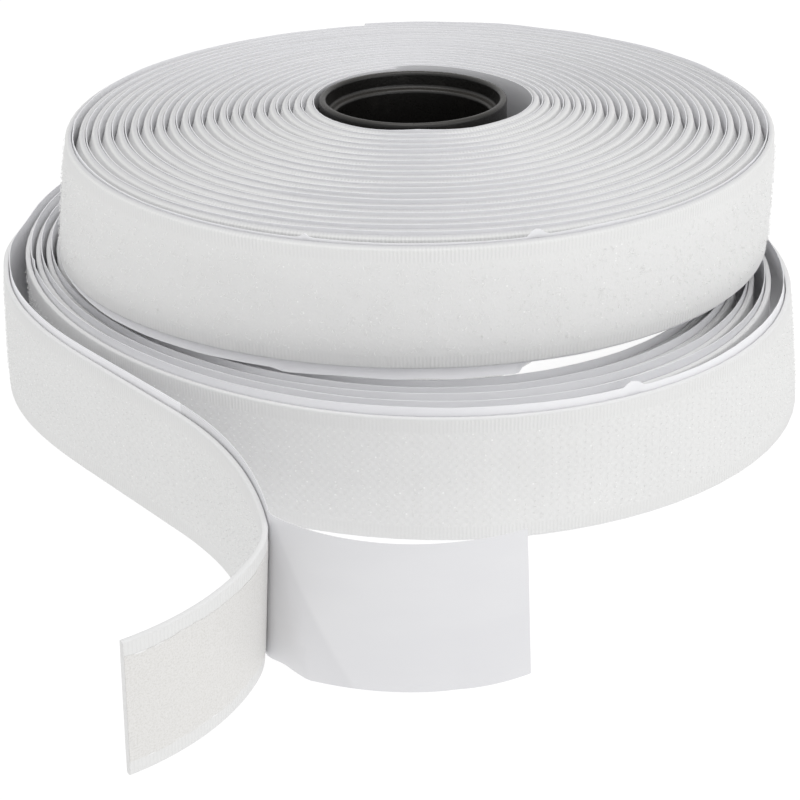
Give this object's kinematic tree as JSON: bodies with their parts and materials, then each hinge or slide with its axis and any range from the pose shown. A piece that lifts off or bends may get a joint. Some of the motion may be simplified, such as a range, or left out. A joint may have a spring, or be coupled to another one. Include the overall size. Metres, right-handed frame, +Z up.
{
  "type": "hook and loop tape roll",
  "caption": "Roll of white loop tape standing on a loosened roll of hook tape, each wound with its liner on a dark core; the hook tape's end is paid off and its liner peeled back.",
  "frame": {"origin": "under the middle of the part's outline, on the surface that it stands on", "axes": "+Z up along the cores' axes, -Y towards the tape's free end, +X to its right as seen from that end"},
  "size_m": [0.1306, 0.1888, 0.0435],
  "materials": {
    "hook_core_plastic": "moulded",
    "hook_coil_fabric": "woven, with rows of hooks",
    "lead_fabric": "woven, with rows of hooks",
    "lead_coat": "tacky",
    "lead_film": "satin film",
    "peeled_fabric": "woven, with rows of hooks",
    "peeled_coat": "tacky",
    "peeled_film": "satin film",
    "loop_core_plastic": "moulded",
    "loop_coil_fabric": "woven, with a brushed loop pile"
  },
  "bodies": {
    "hook_roll": {"hook_core": "hook_core_plastic", "hook_coil": "hook_coil_fabric"},
    "lead": {"lead_tape": "lead_fabric", "lead_adhesive": "lead_coat", "lead_liner": "lead_film"},
    "tape_end": {"peeled_tape": "peeled_fabric", "peeled_adhesive": "peeled_coat"},
    "liner_end": {"peeled_liner": "peeled_film"},
    "loop_core": {"loop_core": "loop_core_plastic"},
    "loop_coil": {"loop_coil": "loop_coil_fabric"}
  },
  "joints": [
    {"name": "lead_swing", "type": "hinge", "parent": "hook_roll", "child": "lead", "pos_m": [-0.06504, 0.04021, 0], "axis": [0, 0, 1], "range_deg": [-40, 0]},
    {"name": "tape_peel", "type": "hinge", "parent": "lead", "child": "tape_end", "pos_m": [-0.01627, -0.06588, 0], "axis": [0, 0, 1], "range_deg": [-50, 0]},
    {"name": "liner_peel", "type": "hinge", "parent": "lead", "child": "liner_end", "pos_m": [-0.01509, -0.06564, 0], "axis": [0, 0, 1], "range_deg": [0, 35]},
    {"name": "loop_lift", "type": "slide", "parent": "hook_roll", "child": "loop_core", "axis": [0, 0, 1], "range_m": [0, 0.06]},
    {"name": "loop_turn", "type": "hinge", "parent": "loop_core", "child": "loop_coil", "pos_m": [0.00371, 0.03621, 0], "axis": [0, 0, 1], "continuous": true}
  ]
}
